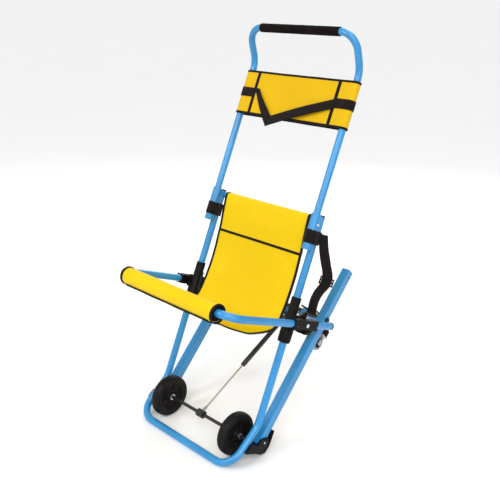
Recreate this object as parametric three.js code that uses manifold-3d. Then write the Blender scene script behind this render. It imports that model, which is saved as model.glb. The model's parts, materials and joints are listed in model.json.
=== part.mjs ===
// Folding evacuation stair chair, in millimetres, +Z up.
// The chair faces -Y, its left side is +X, and it stands on its wheels and its floor loop.
// The origin is on the floor, under the middle of the chair's box.
//
// The frame leans back. Inside the lean group, s runs up along the frame's legs and n points
// forward, square to them, both measured from the wheel axle: local z = s and local y = -n.

import * as THREE from 'three';
import { mergeVertices } from 'three/addons/utils/BufferGeometryUtils.js';
import Module from 'manifold-3d';

const wasm = await Module();
wasm.setup();

// ---------------------------------------------------------------- driving dimensions

const GAP = 0.3;                       // between pieces that touch
const RUN = 0.35;                      // radial clearance of a running fit
const SIDES = { left: 1, right: -1 };

const LEAN = THREE.MathUtils.degToRad(24.5);
const LEG_X = 231.5;                   // middle of each frame leg from the middle of the chair
const TUBE_R = 12.7;
const LEG_N = -24;
const LEG_TOP = 770;
const CROSS_TUBE = { s: 757, radius: 11 };
const BEND_S = 50;                     // where the legs bend forward
const BEND_R = 80;
const LOOP_N = 55;
const LOOP_R = 65;

const WHEEL_R = 75;
const WHEEL_X = 170;
const TYRE_W = 32;
const RIM_R = 50;                      // hub and tyre meet here
const AXLE_R = 6;

const HANDLE_R = 12;
const HANDLE_N = LEG_N + TUBE_R + 16 + GAP;
const HANDLE_BOTTOM = 660;
const HANDLE_BEND = { s: 1250, radius: 90 };
const GRIP = { s: 1348, n: 85, half: 171, radius: 15, corner: 60 };
const SOCKET = { bottom: 654, top: 775, radius: 16 };
const BAND = { bottom: 676, top: 721, thick: 2 };
const BUTTON = { s: 740, radius: 4, inner: 15.3, length: 4.2 };
const RESTRAINT = { bottom: 1056, top: 1215, wall: 3 };

const SEAT_PIVOT = { s: 418, n: -43 };
const SEAT_DROP = THREE.MathUtils.degToRad(2.5);   // the seat bar slopes down to the front
const ARM_X = 275;
const ARM_REAR = 152;                  // seat bar behind its pivot
const ARM_FRONT = 353;                 // seat bar in front of its pivot
const ARM_BEND = 60;
const ROLL = { half: 218, radius: 30 };
const BOLT_R = 4;
const LOCK = { behind: 34.2, below: 24.5, radius: 3, travel: 10 };   // from the seat bar's pivot
const EAR = 14;                        // thickness of the clamp's ear that the lock pin goes through

const TRACK_PIVOT = { s: 0, n: -58 };
const TRACK_ANGLE = THREE.MathUtils.degToRad(19);  // tracks stand out behind the legs
const TRACK = { half: 15, wall: 2.5, front: 19.5, rear: 10.5, bottom: -14, top: 652 };
const PULLEY_R = 8.5;
const UPPER_PULLEY = 634;              // along the track from its pivot
const CROSSBAR = { along: 465, radius: 8, half: 254 };

const CASTOR_ANGLE = THREE.MathUtils.degToRad(67.5);
const CASTOR_X = 150;
const CASTOR_ARM = 165;                // crossbar to castor stem
const CASTOR = { radius: 28, width: 22, drop: 50, trail: 10, housing: 19, high: 28 };
const STRUT_HOOK = 112;                // crossbar to the strut's upper eye
const HOOK_STAND = 21;                 // the eye hangs this far under the castor frame's cross tube

const HAMMOCK_HALF = 197;
const CLOTH = 3;

// ---------------------------------------------------------------- materials

const material = (color, roughness, metalness) => new THREE.MeshStandardMaterial({
  color, roughness, metalness,
});
const BLUE = material(0x3f97dc, 0.35, 0.2);
const YELLOW = material(0xf2d000, 0.6, 0);
const BLACK = material(0x1a1817, 0.55, 0);
const FOAM = material(0x15120f, 0.9, 0);
const WEBBING = material(0x16110f, 0.85, 0);
const RUBBER = material(0x141212, 0.8, 0);
const STEEL = material(0xc4c8cc, 0.25, 1);
const DARK_STEEL = material(0x202022, 0.4, 0.7);

// ---------------------------------------------------------------- curves and outlines

// A tube's centre line: straight runs joined by arcs. It is stepped only where it turns.
class BentLine extends THREE.Curve {
  constructor(corners, radii, arcSteps) {
    super();
    this.stations = [corners[0]];
    for (let i = 1; i < corners.length - 1; i++) {
      this.addArc(corners[i - 1], corners[i], corners[i + 1], radii[i - 1], arcSteps[i - 1]);
    }
    this.stations.push(corners[corners.length - 1]);
  }

  addArc(before, corner, after, radius, steps) {
    const into = corner.clone().sub(before).normalize();
    const out = after.clone().sub(corner).normalize();
    const turn = into.angleTo(out);
    const start = corner.clone().addScaledVector(into, -radius * Math.tan(turn / 2));
    const inward = out.clone().addScaledVector(into, -into.dot(out)).normalize();
    for (let k = 0; k <= steps; k++) {
      const a = turn * k / steps;
      this.stations.push(start.clone()
        .addScaledVector(into, radius * Math.sin(a))
        .addScaledVector(inward, radius * (1 - Math.cos(a))));
    }
  }

  get steps() {
    return this.stations.length - 1;
  }

  getPoint(t, target = new THREE.Vector3()) {
    const place = THREE.MathUtils.clamp(t, 0, 1) * this.steps;
    const i = Math.min(Math.floor(place), this.steps - 1);
    return target.lerpVectors(this.stations[i], this.stations[i + 1], place - i);
  }

  getUtoTmapping(u) {
    return u;
  }
}

// A point of the lean group, from its place across, up and forward.
const at = (x, s, n) => new THREE.Vector3(x, -n, s);

function circle(radius, sides = 16) {
  const points = [];
  for (let k = 0; k < sides; k++) {
    const a = 2 * Math.PI * (k + 0.5) / sides;
    points.push(new THREE.Vector2(radius * Math.cos(a), radius * Math.sin(a)));
  }
  return points;
}

// Two half circles joined by straight sides, along the outline's first axis.
function stadium(radius, from, to, steps = 8) {
  const points = [];
  for (let k = 0; k <= steps; k++) {
    const a = -Math.PI / 2 + Math.PI * k / steps;
    points.push(new THREE.Vector2(to + radius * Math.cos(a), radius * Math.sin(a)));
  }
  for (let k = 0; k <= steps; k++) {
    const a = Math.PI / 2 + Math.PI * k / steps;
    points.push(new THREE.Vector2(from + radius * Math.cos(a), radius * Math.sin(a)));
  }
  return points;
}

const outline = (pairs) => pairs.map(([a, b]) => new THREE.Vector2(a, b));

function shapeOf(points, ...holes) {
  const shape = new THREE.Shape(points);
  shape.holes = holes.map((hole) => new THREE.Path(hole));
  return shape;
}

// ---------------------------------------------------------------- solids

const extrudeZ = (shape, z0, z1) => new THREE.ExtrudeGeometry(shape, {
  depth: z1 - z0, steps: 1, bevelEnabled: false,
}).translate(0, 0, z0);

// Extrudes an outline drawn in local (y, z) along x.
function extrudeX(shape, x0, x1) {
  const turn = new THREE.Matrix4().makeBasis(
    new THREE.Vector3(0, 1, 0), new THREE.Vector3(0, 0, 1), new THREE.Vector3(1, 0, 0));
  return extrudeZ(shape, x0, x1).applyMatrix4(turn);
}

// The same, for an outline given as pairs of s and n.
const extrudeSN = (pairs, x0, x1) => extrudeX(
  shapeOf(outline(pairs.map(([s, n]) => [-n, s]))), x0, x1);

const tube = (line, radius, sides = 12) => new THREE.ExtrudeGeometry(shapeOf(circle(radius, sides)), {
  steps: line.steps, extrudePath: line, bevelEnabled: false,
});

const box = (x0, x1, y0, y1, z0, z1) => new THREE.BoxGeometry(x1 - x0, y1 - y0, z1 - z0)
  .translate((x0 + x1) / 2, (y0 + y1) / 2, (z0 + z1) / 2);

// Turned pieces: profile pairs are (radius, place along the axis).
const turnX = (pairs, sides = 24) => new THREE.LatheGeometry(outline(pairs), sides).rotateZ(-Math.PI / 2);
const turnY = (pairs, sides = 24) => new THREE.LatheGeometry(outline(pairs), sides);
const turnZ = (pairs, sides = 24) => new THREE.LatheGeometry(outline(pairs), sides).rotateX(Math.PI / 2);

// Turns a piece made for the left side to face the right side.
const facing = (side, geometry) => (side < 0 ? geometry.rotateZ(Math.PI) : geometry);

const rod = (radius, from, to) => [[0, from], [radius, from], [radius, to], [0, to]];
const ring = (inner, outer, from, to) => [
  [inner, from], [outer, from], [outer, to], [inner, to], [inner, from],
];

function toManifold(geometry) {
  const bare = geometry.clone();
  bare.deleteAttribute('normal');
  bare.deleteAttribute('uv');
  const merged = mergeVertices(bare, 1e-4);
  const index = merged.index.array;
  const kept = [];
  for (let i = 0; i < index.length; i += 3) {
    const [a, b, c] = index.slice(i, i + 3);
    if (a !== b && b !== c && c !== a) kept.push(a, b, c);
  }
  return new wasm.Manifold(new wasm.Mesh({
    numProp: 3,
    vertProperties: new Float32Array(merged.attributes.position.array),
    triVerts: new Uint32Array(kept),
  }));
}

function toGeometry(manifold) {
  const mesh = manifold.getMesh();
  const geometry = new THREE.BufferGeometry();
  geometry.setAttribute('position', new THREE.BufferAttribute(mesh.vertProperties, 3));
  geometry.setIndex(new THREE.BufferAttribute(mesh.triVerts, 1));
  return geometry;
}

function combine(added, removed = []) {
  let result = toManifold(added[0]);
  for (const geometry of added.slice(1)) result = result.add(toManifold(geometry));
  for (const geometry of removed) result = result.subtract(toManifold(geometry));
  return toGeometry(result);
}

// ---------------------------------------------------------------- the scene graph

const chair = new THREE.Group();
const lean = new THREE.Group();
lean.rotation.x = -LEAN;
chair.add(lean);

function place(group, name, geometry, look, x = 0, y = 0, z = 0) {
  const mesh = new THREE.Mesh(geometry, look);
  mesh.name = name;
  mesh.position.set(x, y, z);
  group.add(mesh);
}

function groupAt(parent, s, n, angle) {
  const group = new THREE.Group();
  group.position.copy(at(0, s, n));
  group.rotation.x = angle;
  parent.add(group);
  return group;
}

// ---------------------------------------------------------------- fixed frame

// The loop lies on the floor, which is one wheel radius below the axle.
const LOOP_S = (TUBE_R - WHEEL_R - LOOP_N * Math.sin(LEAN)) / Math.cos(LEAN);

const frameLine = () => new BentLine([
  at(LEG_X, LEG_TOP, LEG_N),
  at(LEG_X, BEND_S, LEG_N),
  at(LEG_X, LOOP_S, LOOP_N),
  at(-LEG_X, LOOP_S, LOOP_N),
  at(-LEG_X, BEND_S, LEG_N),
  at(-LEG_X, LEG_TOP, LEG_N),
], [BEND_R, LOOP_R, LOOP_R, BEND_R], [4, 7, 7, 4]);

function addFrame() {
  const crossHalf = LEG_X - TUBE_R - GAP;
  place(lean, 'lower_frame', tube(frameLine(), TUBE_R), BLUE);
  place(lean, 'top_cross_tube', turnX(rod(CROSS_TUBE.radius, -crossHalf, crossHalf), 12),
    BLUE, 0, -LEG_N, CROSS_TUBE.s);
  place(lean, 'axle', turnX(rod(AXLE_R, -crossHalf, crossHalf), 16), DARK_STEEL);
}

function addSocket(name, side) {
  const x = side * LEG_X;
  const bore = HANDLE_R + 0.7;
  const socket = combine(
    [turnZ(ring(bore, SOCKET.radius, SOCKET.bottom, SOCKET.top), 16)],
    [facing(side, turnX(rod(BUTTON.radius + 0.4, 0, 2 * SOCKET.radius), 12)).translate(0, 0, BUTTON.s)],
  );
  place(lean, `handle_socket_${name}`, socket, BLUE, x, -HANDLE_N, 0);

  const button = facing(side, turnX(rod(BUTTON.radius, BUTTON.inner, BUTTON.inner + BUTTON.length), 12));
  place(lean, `release_button_${name}`, button, STEEL, x, -HANDLE_N, BUTTON.s);

  const cap = turnZ([[0, LEG_TOP + GAP], [TUBE_R, LEG_TOP + GAP], [TUBE_R, LEG_TOP + 3],
    [TUBE_R - 3, LEG_TOP + 5], [0, LEG_TOP + 5]], 16);
  place(lean, `tube_cap_${name}`, cap, BLACK, x, -LEG_N, 0);

  const hole = stadium(SOCKET.radius + 0.4, -HANDLE_N, -LEG_N);
  const rim = stadium(SOCKET.radius + 0.4 + BAND.thick, -HANDLE_N, -LEG_N);
  const band = extrudeZ(shapeOf(rim, hole), BAND.bottom, BAND.top).rotateZ(Math.PI / 2);
  place(lean, `socket_band_${name}`, band, WEBBING, x, 0, 0);
}

function addPivotBlock(name, side) {
  const bore = TUBE_R + GAP;
  const sleeve = turnZ([[bore, 342], [20, 342], [22, 350], [22, 394], [16.5, 402],
    [16.5, 495], [bore, 495], [bore, 342]], 16).translate(side * LEG_X, -LEG_N, 0);
  const near = side > 0 ? [LEG_X + 5, LEG_X + 27.5] : [-LEG_X - 27.5, -LEG_X - 5];
  const outer = side > 0 ? [LEG_X + 16.8, LEG_X + 27.5] : [-LEG_X - 27.5, -LEG_X - 16.8];
  const root = box(...near, -LEG_N - 14, -LEG_N + 14, 398, 438);
  const lug = extrudeSN([[456, -70], [456, -58], [440, -36], [440, -10], [396, -10], [384, -58],
    [384, -88], [402, -88], [420, -72]], ...outer);
  const legHole = turnZ(rod(bore, 300, 500), 16).translate(side * LEG_X, -LEG_N, 0);
  const boltHole = turnX(rod(BOLT_R + RUN, -300, 300), 12)
    .translate(0, -SEAT_PIVOT.n, SEAT_PIVOT.s);
  const pinHole = turnX(rod(LOCK.radius + RUN, -300, 300), 12)
    .translate(0, LOCK.behind, -LOCK.below)
    .rotateX(SEAT_DROP)
    .translate(0, -SEAT_PIVOT.n, SEAT_PIVOT.s);
  place(lean, `pivot_block_${name}`, combine([sleeve, root, lug], [legHole, boltHole, pinHole]), BLACK);
}

// A cradle for the lower end of a track, hung on the bend of the leg.
function addLowerBracket(name, side) {
  const slot = TRACK.half + 0.8;
  const half = 23.5;
  const cheek = [[12, -38], [-10, -26], [-34, -26], [-38, -52], [-32, -70], [-10, -80], [16, -72]];
  const cradle = [[-30, -26], [-36, -26], [-41, -54], [-35, -75], [-12, -87], [42, -91], [42, -88],
    [-9, -83], [-28, -71], [-33, -54]];
  const root = [[-8, -34], [-8, 6], [-36, 22], [-36, -34]];
  const bracket = combine([
    extrudeSN(cheek, -half, -slot),
    extrudeSN(cheek, slot, half),
    extrudeSN(cradle, -half, half),
    extrudeSN(root, -half, half),
  ].map((piece) => piece.translate(side * LEG_X, 0, 0)), [
    tube(frameLine(), TUBE_R + GAP),
    turnX(rod(BOLT_R + GAP, -300, 300), 12).translate(0, -TRACK_PIVOT.n, TRACK_PIVOT.s),
  ]);
  place(lean, `lower_bracket_${name}`, bracket, BLACK);
  const pin = turnX(rod(BOLT_R, -half + 0.5, half - 0.5), 12);
  place(lean, `track_pin_${name}`, pin, STEEL, side * LEG_X, -TRACK_PIVOT.n, TRACK_PIVOT.s);
}

// ---------------------------------------------------------------- wheels

function addWheel(name, side) {
  const x = side * WHEEL_X;
  const half = TYRE_W / 2;
  const hub = turnX([
    [AXLE_R + RUN, -half - 1], [14, -half - 1], [16, -half + 4], [20, -7], [44, -7], [46, -12],
    [RIM_R, -12], [RIM_R, 12], [46, 12], [44, 7], [20, 7], [16, half - 4], [14, half + 1],
    [AXLE_R + RUN, half + 1], [AXLE_R + RUN, -half - 1],
  ]);
  place(lean, `hub_${name}`, hub, BLACK, x);
  const tyre = turnX([
    [RIM_R + GAP, -13], [56, -14.5], [64, -half], [70, -half + 1.5], [73.5, -half + 5], [WHEEL_R, -6],
    [WHEEL_R, 6], [73.5, half - 5], [70, half - 1.5], [64, half], [56, 14.5],
    [RIM_R + GAP, 13], [RIM_R + GAP, -13],
  ], 32);
  place(lean, `tyre_${name}`, tyre, RUBBER, x);
  const nut = combine([turnX(rod(10, 17.5, 25), 6)], [turnX(rod(AXLE_R + GAP, 10, 30), 16)]);
  facing(side, nut);
  place(lean, `axle_nut_${name}`, nut, STEEL, x);
}

// ---------------------------------------------------------------- handle

function addHandle() {
  const corners = [];
  for (const side of [1, -1]) {
    const leg = [
      at(side * LEG_X, HANDLE_BOTTOM, HANDLE_N),
      at(side * LEG_X, HANDLE_BEND.s, HANDLE_N),
      at(side * LEG_X, GRIP.s, GRIP.n),
    ];
    corners.push(...(side > 0 ? leg : leg.reverse()));
  }
  const radii = [HANDLE_BEND.radius, GRIP.corner, GRIP.corner, HANDLE_BEND.radius];
  place(lean, 'handle_tube', tube(new BentLine(corners, radii, [4, 6, 6, 4]), HANDLE_R), BLUE);

  const grip = turnX(ring(HANDLE_R + 0.5, GRIP.radius, -GRIP.half, GRIP.half), 16);
  place(lean, 'foam_grip', grip, FOAM, 0, -GRIP.n, GRIP.s);

  const sleeve = shapeOf(
    stadium(HANDLE_R + 0.6 + RESTRAINT.wall, -LEG_X, LEG_X),
    stadium(HANDLE_R + 0.6, -LEG_X, LEG_X));
  place(lean, 'head_restraint', extrudeZ(sleeve, RESTRAINT.bottom, RESTRAINT.top), YELLOW, 0, -HANDLE_N);

  // One flat strap that drops from the left stripe, folds, and climbs to the other stripe.
  const face = -HANDLE_N - HANDLE_R - 0.6 - RESTRAINT.wall;
  const strap = extrudeZ(shapeOf(outline([
    [-178, 1150], [-96, 1024], [-40, 1018], [150, 1088], [228, 1112], [228, 1146], [140, 1128],
    [-50, 1062], [-84, 1072], [-140, 1150],
  ])), 0, 4).rotateX(Math.PI / 2);
  place(lean, 'head_strap', strap, WEBBING, 0, face - GAP, 0);
}

// ---------------------------------------------------------------- seat bar

const seat = groupAt(lean, SEAT_PIVOT.s, SEAT_PIVOT.n, SEAT_DROP);

function addSeatBar() {
  const line = new BentLine([
    new THREE.Vector3(ARM_X, ARM_REAR, 0),
    new THREE.Vector3(ARM_X, -ARM_FRONT, 0),
    new THREE.Vector3(-ARM_X, -ARM_FRONT, 0),
    new THREE.Vector3(-ARM_X, ARM_REAR, 0),
  ], [ARM_BEND, ARM_BEND], [7, 7]);
  const boltHole = turnX(rod(BOLT_R + GAP, -300, 300), 12);
  place(seat, 'seat_bar', combine([tube(line, TUBE_R)], [boltHole]), BLUE);
  const roll = turnX([
    [TUBE_R + 0.6, -ROLL.half], [ROLL.radius - 3, -ROLL.half], [ROLL.radius, -ROLL.half + 4],
    [ROLL.radius, ROLL.half - 4], [ROLL.radius - 3, ROLL.half], [TUBE_R + 0.6, ROLL.half],
    [TUBE_R + 0.6, -ROLL.half],
  ], 16);
  place(seat, 'seat_roll', roll, YELLOW, 0, -ARM_FRONT, 0);
}

function addArmFittings(name, side) {
  const near = ARM_X - 14.7;
  const far = ARM_X + 16;
  const high = 16.5;
  const across = side > 0 ? [near, far] : [-far, -near];
  const flange = side > 0 ? [near, near + EAR] : [-near - EAR, -near];
  const body = box(...across, -64, 60, -high, high);
  const ear = box(...flange, 22, 58, -36, -high + 2);
  const armHole = turnY(rod(TUBE_R + GAP, -100, 100), 16).translate(side * ARM_X, 0, 0);
  const boltHole = turnX(rod(BOLT_R + GAP, -300, 300), 12);
  const pinHole = turnX(rod(LOCK.radius + RUN, -300, 300), 12).translate(0, LOCK.behind, -LOCK.below);
  place(seat, `arm_clamp_${name}`, combine([body, ear], [armHole, boltHole, pinHole]), BLACK);

  const bolt = facing(side, turnX([[0, LEG_X + 18], [BOLT_R, LEG_X + 18], [BOLT_R, far + GAP],
    [7, far + GAP], [7, far + 3], [5, far + 4], [0, far + 4]], 12));
  place(seat, `pivot_bolt_${name}`, bolt, STEEL);

  const cap = turnY([[0, ARM_REAR + GAP], [TUBE_R + 0.8, ARM_REAR + GAP], [TUBE_R + 0.8, ARM_REAR + 6],
    [TUBE_R - 3, ARM_REAR + 9], [0, ARM_REAR + 9]], 16);
  place(seat, `arm_cap_${name}`, cap, BLACK, side * ARM_X, 0, 0);
}

function addLockPin() {
  const tip = ARM_X - 14.5;
  const collar = tip + EAR + LOCK.travel + GAP;
  const shank = turnX([[0, tip], [LOCK.radius, tip], [LOCK.radius, collar], [5.5, collar],
    [5.5, collar + 5], [0, collar + 5]], 12);
  const eye = new THREE.TorusGeometry(8, 1.3, 6, 16).rotateY(Math.PI / 2)
    .translate(collar + 2.5, 0, -12);
  place(seat, 'lock_pin', combine([shank, eye]), STEEL, 0, LOCK.behind, -LOCK.below);
}

// ---------------------------------------------------------------- hammock and straps

// A sheet of even thickness along a smooth line given as pairs of s and n, from edge to edge.
function sling(pairs, steps, thickness, x0, x1) {
  const line = new THREE.SplineCurve(outline(pairs.map(([s, n]) => [-n, s])));
  const one = [];
  const other = [];
  for (let k = 0; k <= steps; k++) {
    const p = line.getPoint(k / steps);
    const t = line.getTangent(k / steps);
    one.push(new THREE.Vector2(p.x - t.y * thickness / 2, p.y + t.x * thickness / 2));
    other.unshift(new THREE.Vector2(p.x + t.y * thickness / 2, p.y - t.x * thickness / 2));
  }
  return extrudeX(shapeOf([...one, ...other]), x0, x1);
}

function addCloth() {
  place(lean, 'hammock_back', sling([[770.2, -25], [768, -14], [757, -10.6], [700, -17], [640, -26],
    [546, -33], [470, -30], [430, -25]], 21, CLOTH, -HAMMOCK_HALF, HAMMOCK_HALF), YELLOW);
  place(lean, 'hammock_seat', sling([[429, -24.9], [400, -19], [374, -5], [358, 40], [346, 111],
    [350, 162], [358, 217], [366, 280]], 14, CLOTH, -HAMMOCK_HALF, HAMMOCK_HALF), YELLOW);

  const strap = { inner: 256.5, outer: 293.5 };
  place(lean, 'lap_strap', sling([[716, -4], [676, -26], [634, -58], [592, -92], [560, -94],
    [530, -72], [498, -62], [457, -68]], 20, CLOTH, strap.inner, strap.outer), WEBBING);
  const anchor = turnX(rod(2.5, LEG_X + 27.8, strap.outer), 10);
  place(lean, 'strap_anchor', anchor, STEEL, 0, 64, 450);
}

// ---------------------------------------------------------------- tracks

const track = groupAt(lean, TRACK_PIVOT.s, TRACK_PIVOT.n, -TRACK_ANGLE);

function addTrack(name, side) {
  const x = side * LEG_X;
  const { half, wall, front, rear } = TRACK;
  const channel = outline([
    [-half, -front], [half, -front], [half, rear], [half - wall, rear], [half - wall, wall - front],
    [wall - half, wall - front], [wall - half, rear], [-half, rear],
  ]);
  const across = (radius, z) => turnX(rod(radius, -20, 20), 12).translate(0, 0, z);
  const housing = combine([extrudeZ(shapeOf(channel), TRACK.bottom, TRACK.top)], [
    across(BOLT_R + RUN, 0), across(3 + RUN, UPPER_PULLEY), across(CROSSBAR.radius + RUN, CROSSBAR.along),
  ]);
  place(track, `track_housing_${name}`, housing, BLUE, x);

  const cap = box(-half, half, -front, rear, TRACK.top + GAP, TRACK.top + 5);
  place(track, `track_cap_${name}`, cap, BLUE, x);

  const loop = (radius) => stadium(radius, 0, UPPER_PULLEY);
  const belt = extrudeZ(shapeOf(loop(PULLEY_R + 3.4), loop(PULLEY_R + 0.4)), -11, 11)
    .rotateY(-Math.PI / 2);
  place(track, `track_belt_${name}`, belt, RUBBER, x);

  const lower = turnX(ring(BOLT_R + RUN, PULLEY_R, -10, 10), 16);
  place(track, `lower_pulley_${name}`, lower, BLACK, x);
  const upper = turnX([[0, -14], [3, -14], [3, -10], [PULLEY_R, -10], [PULLEY_R, 10], [3, 10],
    [3, 14], [0, 14]], 16);
  place(track, `upper_pulley_${name}`, upper, BLACK, x, 0, UPPER_PULLEY);
}

// ---------------------------------------------------------------- castor frame

const castors = new THREE.Group();
castors.position.set(0, 0, CROSSBAR.along);
castors.rotation.x = TRACK_ANGLE + CASTOR_ANGLE;
track.add(castors);

function addCastorFrame() {
  place(track, 'track_crossbar', turnX(rod(CROSSBAR.radius, -CROSSBAR.half, CROSSBAR.half), 12),
    BLACK, 0, 0, CROSSBAR.along);
  const end = -CASTOR_ARM + CASTOR.housing + GAP;
  const parts = [turnX(rod(8, -CASTOR_X, CASTOR_X), 12).translate(0, HOOK_STAND, -STRUT_HOOK)];
  for (const side of [1, -1]) {
    const x = side * CASTOR_X;
    parts.push(box(x - 9, x + 9, -9, 9, end, -6));
    parts.push(turnX(rod(14, -9, 9), 16).translate(x, 0, 0));
    parts.push(box(x - 4, x + 4, 0, HOOK_STAND + 8, -STRUT_HOOK - 12, -STRUT_HOOK + 12));
    const cheek = side * 10.5;
    parts.push(box(cheek - 2, cheek + 2, -8, HOOK_STAND, -STRUT_HOOK - 8, -STRUT_HOOK + 8));
  }
  const pivotHole = turnX(rod(CROSSBAR.radius + RUN, -300, 300), 12);
  place(castors, 'castor_frame', combine(parts, [pivotHole]), BLUE);
}

function addCastor(name, side) {
  const x = side * CASTOR_X;
  const z = -CASTOR_ARM;
  const top = CASTOR.high / 2;
  const housing = turnY([[0, -top], [CASTOR.housing, -top], [CASTOR.housing, top - 8],
    [CASTOR.housing - 6, top], [0, top]], 16);
  place(castors, `castor_housing_${name}`, housing, BLACK, x, 0, z);

  const crown = -top - GAP;
  const cheek = CASTOR.width / 2 + 2;
  const fork = combine([
    box(-cheek - 3, cheek + 3, crown - 4, crown, -12, 12 + CASTOR.trail),
    box(-cheek - 3, -cheek, -CASTOR.drop - 7, crown, CASTOR.trail - 9, CASTOR.trail + 9),
    box(cheek, cheek + 3, -CASTOR.drop - 7, crown, CASTOR.trail - 9, CASTOR.trail + 9),
    turnX(rod(3, -cheek - 1, cheek + 1), 12).translate(0, -CASTOR.drop, CASTOR.trail),
  ]);
  place(castors, `castor_fork_${name}`, fork, BLACK, x, 0, z);

  const half = CASTOR.width / 2;
  const wheel = turnX([[3 + RUN, -half], [12, -half], [20, -half + 1], [CASTOR.radius - 3, -half + 1],
    [CASTOR.radius, -half + 4], [CASTOR.radius, half - 4], [CASTOR.radius - 3, half - 1],
    [20, half - 1], [12, half], [3 + RUN, half], [3 + RUN, -half]], 24);
  place(castors, `castor_wheel_${name}`, wheel, RUBBER, x, -CASTOR.drop, z + CASTOR.trail);
}

// ---------------------------------------------------------------- gas strut

// The strut runs from the axle to the castor frame's hook.
const hook = {
  s: TRACK_PIVOT.s + CROSSBAR.along * Math.cos(TRACK_ANGLE) - STRUT_HOOK * Math.cos(CASTOR_ANGLE),
  n: TRACK_PIVOT.n - CROSSBAR.along * Math.sin(TRACK_ANGLE) - STRUT_HOOK * Math.sin(CASTOR_ANGLE),
};
const strutLength = Math.hypot(hook.s, hook.n);
const strut = groupAt(lean, 0, 0, -Math.atan2(-hook.n, hook.s));

function addStrut() {
  const mouth = 232;
  const rodEnd = mouth + 90;
  const eye = turnX(rod(14, -15, 15), 16);
  const stem = turnZ(rod(3.5, 8, rodEnd), 12);
  const bore = turnX(rod(AXLE_R + RUN, -20, 20), 16);
  place(strut, 'strut_rod', combine([eye, stem], [bore]), STEEL);

  const shell = turnZ(rod(9, mouth, strutLength - 14), 16);
  const neck = turnZ(rod(4, strutLength - 16, strutLength), 12);
  const upperEye = turnX(rod(8, -7, 7), 16).translate(0, 0, strutLength);
  const inside = turnZ(rod(3.5 + RUN, mouth - 1, strutLength - 22), 12);
  place(strut, 'strut_cylinder', combine([shell, neck, upperEye], [inside]), BLACK);
}

// ---------------------------------------------------------------- assembly

addFrame();
addHandle();
addSeatBar();
addCloth();
addCastorFrame();
addStrut();
addLockPin();
for (const [name, side] of Object.entries(SIDES)) {
  addSocket(name, side);
  addPivotBlock(name, side);
  addLowerBracket(name, side);
  addWheel(name, side);
  addArmFittings(name, side);
  addTrack(name, side);
  addCastor(name, side);
}

// Stand the chair on the floor, with the origin under the middle of its box.
chair.updateMatrixWorld(true);
const bounds = new THREE.Box3().setFromObject(chair, true);
const middle = bounds.getCenter(new THREE.Vector3());
lean.position.set(-middle.x, -middle.y, -bounds.min.z);

export default chair;
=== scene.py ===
"""Folding evacuation stair chair: the looks of every piece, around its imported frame.

Blender's objects are in metres. Sizes here are in millimetres, and a place is given in one of the
chair's own sets of axes, as (x, s, n): across, along and out of the part that it belongs to.
"""

import json
import math

import bmesh
import bpy
import numpy as np
from mathutils import Matrix, Vector, noise


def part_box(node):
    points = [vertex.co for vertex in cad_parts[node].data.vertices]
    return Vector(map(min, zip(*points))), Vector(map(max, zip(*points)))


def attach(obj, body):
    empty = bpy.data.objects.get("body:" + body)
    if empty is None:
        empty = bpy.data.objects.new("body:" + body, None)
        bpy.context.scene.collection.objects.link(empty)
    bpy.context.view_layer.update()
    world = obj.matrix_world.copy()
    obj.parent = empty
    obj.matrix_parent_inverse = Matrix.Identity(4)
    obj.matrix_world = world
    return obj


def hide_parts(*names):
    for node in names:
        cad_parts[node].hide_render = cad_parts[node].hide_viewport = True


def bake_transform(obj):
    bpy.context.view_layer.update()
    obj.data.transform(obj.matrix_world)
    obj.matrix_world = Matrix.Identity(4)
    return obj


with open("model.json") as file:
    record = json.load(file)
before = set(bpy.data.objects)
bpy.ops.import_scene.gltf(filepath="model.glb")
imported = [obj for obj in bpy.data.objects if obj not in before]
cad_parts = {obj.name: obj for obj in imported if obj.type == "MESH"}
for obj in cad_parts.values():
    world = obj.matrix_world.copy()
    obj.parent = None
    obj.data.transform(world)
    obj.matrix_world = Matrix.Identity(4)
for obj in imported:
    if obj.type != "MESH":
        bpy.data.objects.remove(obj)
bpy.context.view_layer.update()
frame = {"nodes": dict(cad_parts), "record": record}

# ---------------------------------------------------------------- places and sizes

MM = 0.001
X = Vector((1, 0, 0))
SIDES = {"left": 1, "right": -1}
JOINTS = {joint["name"]: joint for joint in frame["record"]["behaviour"]["joints"]}


class Axes:
    """Turns (across, along, out) in millimetres into a place in the frame."""

    def __init__(self, origin, along):
        self.origin = Vector(origin)
        self.along = Vector(along).normalized()
        self.out = X.cross(self.along)

    def __call__(self, x, s, n):
        return self.origin + (X * x + self.along * s + self.out * n) * MM


def middle(node):
    low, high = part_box(node)
    return (low + high) / 2


def joint_place(name):
    return Vector(JOINTS[name]["pos_m"])


# Up along the legs and forward from them, from the wheel axle.
lean = Axes(middle("axle"), JOINTS["handle_extend"]["axis"])
# Back along the seat bar's arms and up from them, from their pivot.
seat = Axes(joint_place("seat_fold"), joint_place("seat_fold") - middle("seat_roll"))
# Up along the tracks and forward from them, from their hinge.
track = Axes(joint_place("track_fold"),
             joint_place("upper_pulley_spin_left") - joint_place("lower_pulley_spin_left"))
# Along the gas strut, from the wheel axle.
strut = Axes(joint_place("strut_swing"), JOINTS["strut_slide"]["axis"])

GAP = 0.3              # between pieces that touch

LEG_X = 231.5          # middle of each frame leg from the middle of the chair
LEG_N = -24
LEG_TOP = 770
TUBE_R = 12.7
LEG_BEND = {"s": 50, "radius": 80}
LOOP = {"s": -93.5, "n": 55, "radius": 65}
CROSS_TUBE = {"s": 757, "radius": 11}
AXLE_R = 6
AXLE_RINGS = (-17.5, 16.0)

HANDLE_R = 12
HANDLE_N = 5
HANDLE_BOTTOM = 660
HANDLE_BEND = {"s": 1250, "radius": 90}
GRIP = {"s": 1348, "n": 85, "half": 171, "inner": 12.3, "radius": 15.0, "corner": 60}
SOCKET_R = 16
BAND = {"s": 698.5, "height": 45}

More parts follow.
